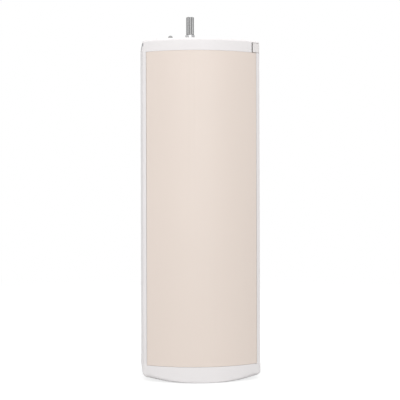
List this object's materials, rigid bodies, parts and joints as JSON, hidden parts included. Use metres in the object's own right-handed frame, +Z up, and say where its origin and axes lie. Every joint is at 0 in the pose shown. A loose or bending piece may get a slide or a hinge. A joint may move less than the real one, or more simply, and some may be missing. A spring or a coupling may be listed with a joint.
{
  "type": "curtain track motor",
  "caption": "Upright curtain-track drive motor: bow-fronted casing with a beige cover, splined drive shaft on top, lock slide, and a geared motor and electronics inside.",
  "frame": {"origin": "middle of the base's footprint, on the plane it stands on", "axes": "+Z up along the drive shaft, -Y towards the bowed front, +X to the right seen from the front"},
  "size_m": [0.0724, 0.0584, 0.2248],
  "materials": {
    "shell_white": "fine moulded texture, off-white",
    "cover_beige": "satin lacquer, warm beige",
    "tab_white": "moulded, off-white",
    "plate_steel": "zinc-plated pressing",
    "shaft_steel": "ground steel",
    "collar_steel": "bright turned ring",
    "screw_steel": "zinc-plated",
    "peg_grey": "light grey acetal",
    "casting": "die-cast zinc alloy",
    "bronze": "sintered bronze",
    "gear_plastic": "natural acetal",
    "ring_plastic": "black glass-filled nylon",
    "gear_steel": "sintered steel",
    "can_steel": "zinc-plated deep-drawn can",
    "bell_plastic": "black moulded end bell",
    "magnet": "ferrite",
    "carbon": "carbon",
    "copper": "copper",
    "rubber_black": "soft black rubber",
    "board_green": "solder-masked circuit board",
    "ferrite": "ferrite or laminated steel",
    "coil_tape": "yellow insulating tape over copper wire",
    "capacitor_sleeve": "dark sleeve",
    "film_box": "yellow moulded box",
    "fuse_glass": "clear tube between plated caps",
    "heat_metal": "extruded aluminium",
    "socket_black": "black moulded socket",
    "contact_metal": "plated contact",
    "button_grey": "grey push button",
    "lens_clear": "frosted light guide",
    "wire_sleeve": "insulated wire"
  },
  "bodies": {
    "casing": {"main_housing": "shell_white", "front_cover": "cover_beige", "bottom_cap": "shell_white", "base_screws": "screw_steel", "gearbox_flange": "casting", "locating_pegs": "peg_grey", "flange_screws": "screw_steel", "output_bush": "bronze", "ring_gear": "ring_plastic", "adapter_plate": "casting", "gearbox_screws": "screw_steel", "motor_screws": "screw_steel", "motor_can": "can_steel", "motor_end_bell": "bell_plastic", "motor_bushes": "bronze", "field_magnets": "magnet", "brushes": "carbon", "brush_arms": "copper", "motor_sleeve": "rubber_black", "encoder_board": "board_green", "power_board": "board_green", "transformer_core": "ferrite", "transformer_coil": "coil_tape", "smoothing_capacitor": "capacitor_sleeve", "filter_capacitor": "film_box", "filter_choke": "ferrite", "fuse": "fuse_glass", "heat_sink": "heat_metal", "control_board": "board_green", "board_screws": "screw_steel", "mains_inlet": "socket_black", "inlet_pins": "contact_metal", "bus_jack": "socket_black", "jack_contacts": "contact_metal", "button_switch": "bell_plastic", "status_lens": "lens_clear", "motor_leads": "wire_sleeve", "board_cable": "wire_sleeve"},
    "rotor": {"motor_shaft": "shaft_steel", "armature_core": "ferrite", "armature_windings": "copper", "commutator": "copper", "encoder_magnet": "magnet", "motor_pinion": "gear_steel"},
    "first_carrier": {"first_carrier": "gear_plastic", "first_planet_pins": "shaft_steel"},
    "output": {"output_carrier": "gear_steel", "second_planet_pins": "shaft_steel", "output_shaft": "shaft_steel", "shaft_collar": "collar_steel"},
    "lock_slide": {"lock_plate": "plate_steel", "lock_tab": "tab_white"},
    "button": {"program_button": "button_grey"},
    "first_planet_a": {"first_planet_a": "gear_plastic"},
    "first_planet_b": {"first_planet_b": "gear_plastic"},
    "first_planet_c": {"first_planet_c": "gear_plastic"},
    "second_planet_a": {"second_planet_a": "gear_steel"},
    "second_planet_b": {"second_planet_b": "gear_steel"},
    "second_planet_c": {"second_planet_c": "gear_steel"}
  },
  "joints": [
    {"name": "rotor_spin", "type": "hinge", "parent": "casing", "child": "rotor", "pos_m": [-0.0054, 0, 0.135], "axis": [0, 0, 1], "continuous": true},
    {"name": "first_carrier_spin", "type": "hinge", "parent": "casing", "child": "first_carrier", "pos_m": [-0.0054, 0, 0.1836], "axis": [0, 0, 1], "continuous": true},
    {"name": "output_spin", "type": "hinge", "parent": "casing", "child": "output", "pos_m": [-0.0054, 0, 0.2], "axis": [0, 0, 1], "continuous": true},
    {"name": "first_planet_a_spin", "type": "hinge", "parent": "first_carrier", "child": "first_planet_a", "pos_m": [-0.0054, 0.01148, 0.1782], "axis": [0, 0, 1], "continuous": true},
    {"name": "first_planet_b_spin", "type": "hinge", "parent": "first_carrier", "child": "first_planet_b", "pos_m": [-0.01534, -0.00574, 0.1782], "axis": [0, 0, 1], "continuous": true},
    {"name": "first_planet_c_spin", "type": "hinge", "parent": "first_carrier", "child": "first_planet_c", "pos_m": [0.00454, -0.00574, 0.1782], "axis": [0, 0, 1], "continuous": true},
    {"name": "second_planet_a_spin", "type": "hinge", "parent": "output", "child": "second_planet_a", "pos_m": [-0.0054, 0.01148, 0.1896], "axis": [0, 0, 1], "continuous": true},
    {"name": "second_planet_b_spin", "type": "hinge", "parent": "output", "child": "second_planet_b", "pos_m": [-0.01534, -0.00574, 0.1896], "axis": [0, 0, 1], "continuous": true},
    {"name": "second_planet_c_spin", "type": "hinge", "parent": "output", "child": "second_planet_c", "pos_m": [0.00454, -0.00574, 0.1896], "axis": [0, 0, 1], "continuous": true},
    {"name": "lock_slide", "type": "slide", "parent": "casing", "child": "lock_slide", "axis": [1, 0, 0], "range_m": [0, 0.006]},
    {"name": "button_press", "type": "slide", "parent": "casing", "child": "button", "axis": [0, 0, 1], "range_m": [0, 0.0006], "stiffness_N_per_m": 1500, "springref_m": -0.0003}
  ],
  "couplings": [
    {"joint": "first_carrier_spin", "follows": "rotor_spin", "ratio": 0.22222},
    {"joint": "output_spin", "follows": "rotor_spin", "ratio": 0.049383},
    {"joint": "first_planet_a_spin", "follows": "rotor_spin", "ratio": -0.62222},
    {"joint": "first_planet_b_spin", "follows": "rotor_spin", "ratio": -0.62222},
    {"joint": "first_planet_c_spin", "follows": "rotor_spin", "ratio": -0.62222},
    {"joint": "second_planet_a_spin", "follows": "rotor_spin", "ratio": -0.13827},
    {"joint": "second_planet_b_spin", "follows": "rotor_spin", "ratio": -0.13827},
    {"joint": "second_planet_c_spin", "follows": "rotor_spin", "ratio": -0.13827}
  ]
}
